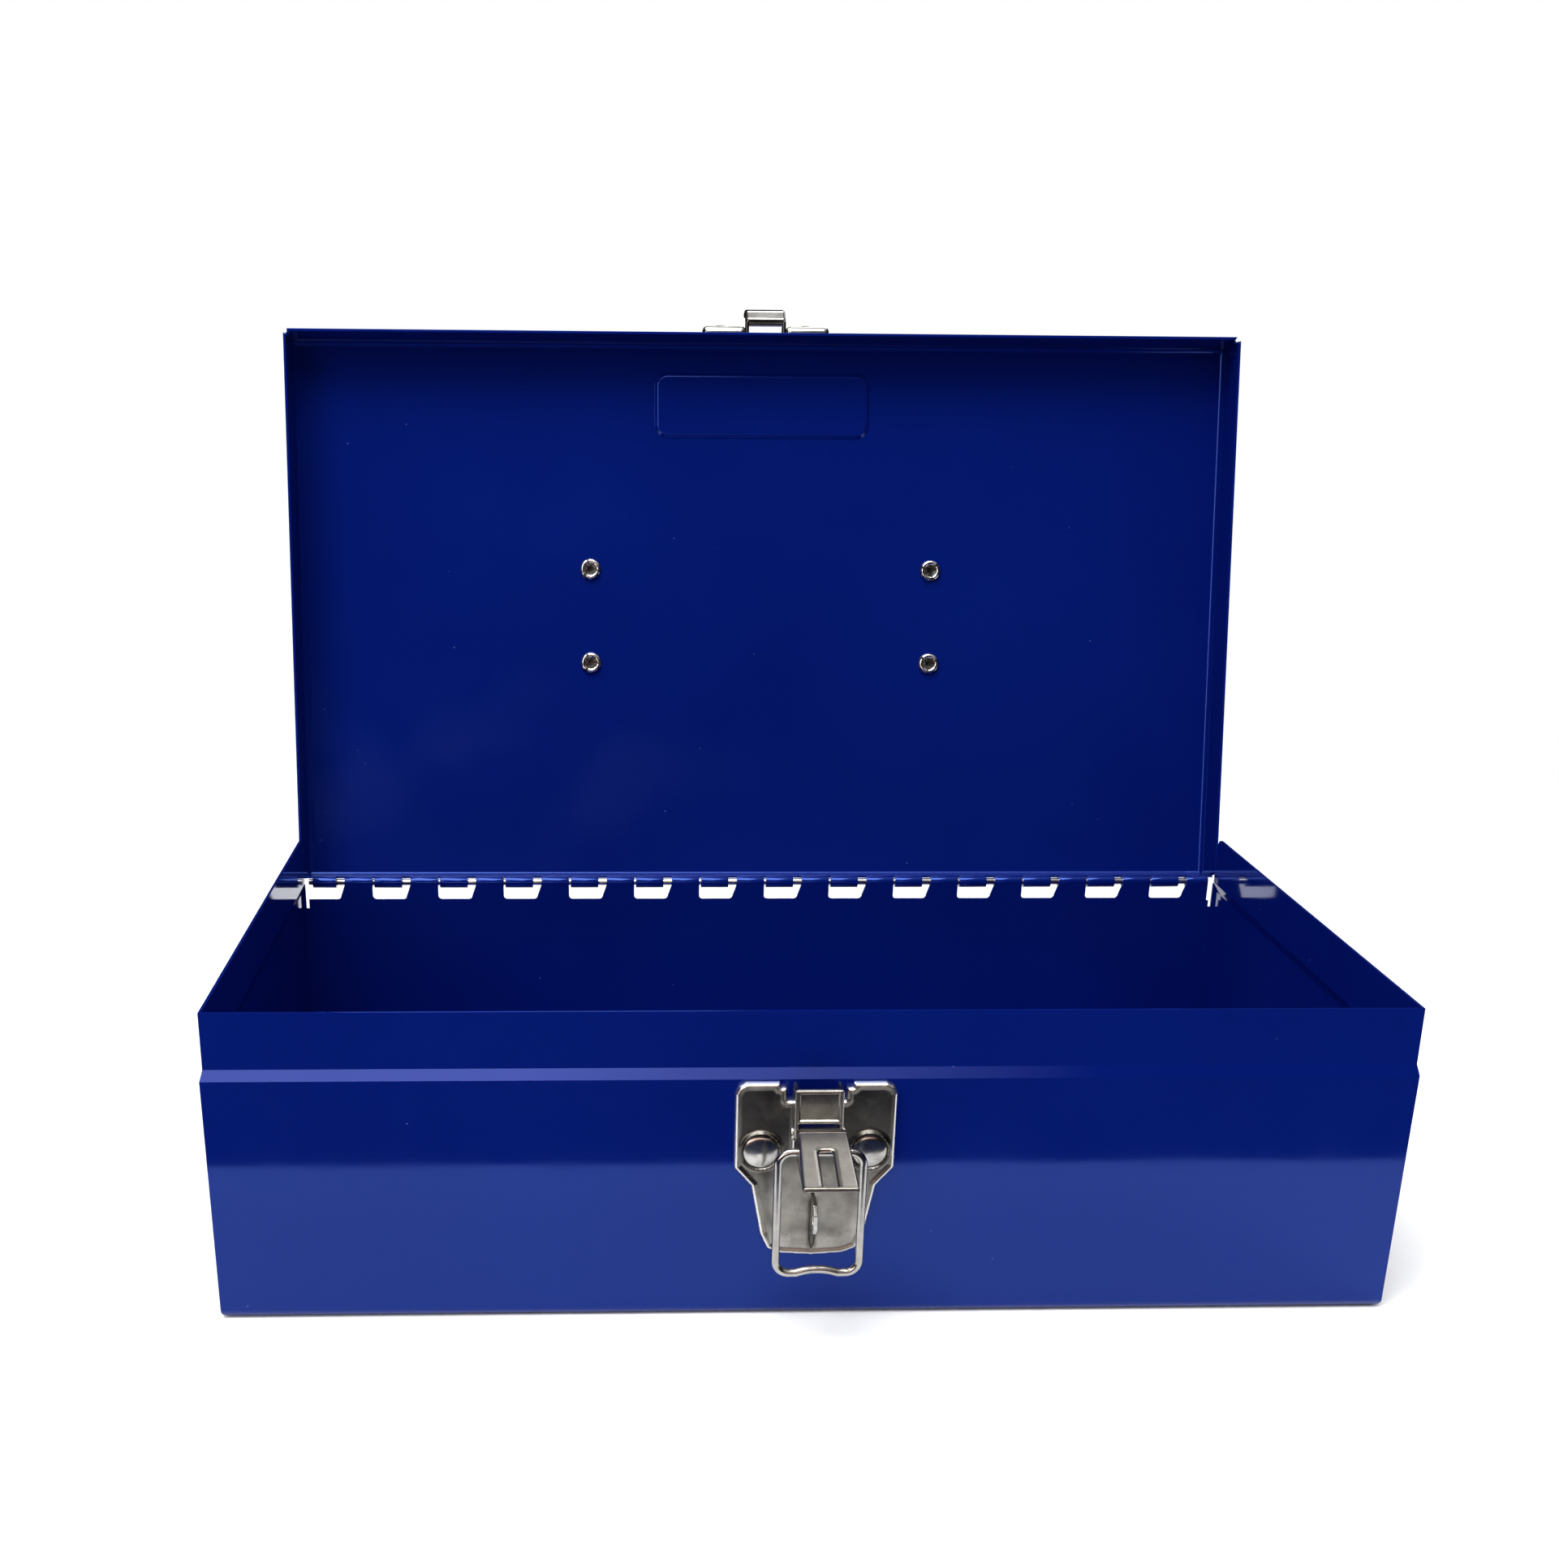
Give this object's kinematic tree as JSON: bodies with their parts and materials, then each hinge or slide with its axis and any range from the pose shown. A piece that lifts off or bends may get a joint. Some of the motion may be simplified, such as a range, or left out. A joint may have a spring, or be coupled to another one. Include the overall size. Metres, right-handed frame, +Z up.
{
  "type": "metal tool box",
  "caption": "Blue painted sheet-steel tool box with a rear-hinged flat lid, a draw latch on the front and a folding handle on the lid.",
  "frame": {"origin": "centre of the box's bottom face, on the surface it stands on", "axes": "X along the box, -Y towards the latch, +Z up"},
  "size_m": [0.3604, 0.3158, 0.2878],
  "materials": {
    "blue_paint": "gloss",
    "grey_plate": "satin",
    "bright_plate": "polished",
    "fin_plate": "satin",
    "bail_wire": "polished",
    "handle_plate": "polished",
    "rivet_steel": "polished",
    "pin_steel": "satin"
  },
  "bodies": {
    "box": {"box_shell": "blue_paint", "hinge_pin": "pin_steel", "latch_plate": "grey_plate", "latch_rivet_left": "rivet_steel", "latch_rivet_right": "rivet_steel", "padlock_fin": "fin_plate", "lever_pin": "pin_steel"},
    "lid": {"lid_shell": "blue_paint", "strike": "bright_plate", "strike_rivet_left": "rivet_steel", "strike_rivet_right": "rivet_steel", "handle_bracket_left": "handle_plate", "handle_bracket_right": "handle_plate", "handle_rivet_left_front": "rivet_steel", "handle_rivet_left_rear": "rivet_steel", "handle_rivet_right_front": "rivet_steel", "handle_rivet_right_rear": "rivet_steel"},
    "handle": {"handle_rod": "handle_plate", "handle_grip": "handle_plate"},
    "lever": {"latch_lever": "grey_plate"},
    "bail": {"latch_bail": "bail_wire"}
  },
  "joints": [
    {"name": "lid_hinge", "type": "hinge", "parent": "box", "child": "lid", "pos_m": [0, 0.10265, 0.081], "axis": [1, 0, 0], "range_deg": [0, 103.4]},
    {"name": "handle_swing", "type": "hinge", "parent": "lid", "child": "handle", "pos_m": [0, 0.14959, 0.17534], "axis": [1, 0, 0], "range_deg": [-9.1, 162.3]},
    {"name": "lever_pivot", "type": "hinge", "parent": "box", "child": "lever", "pos_m": [0, -0.1093, 0.0642], "axis": [1, 0, 0], "range_deg": [0, 93]},
    {"name": "bail_pivot", "type": "hinge", "parent": "lever", "child": "bail", "pos_m": [0, -0.1198, 0.0625], "axis": [1, 0, 0], "range_deg": [-271, 0]}
  ],
  "couplings": [
    {"joint": "bail_pivot", "follows": "lever_pivot", "ratio": -2.9108}
  ]
}
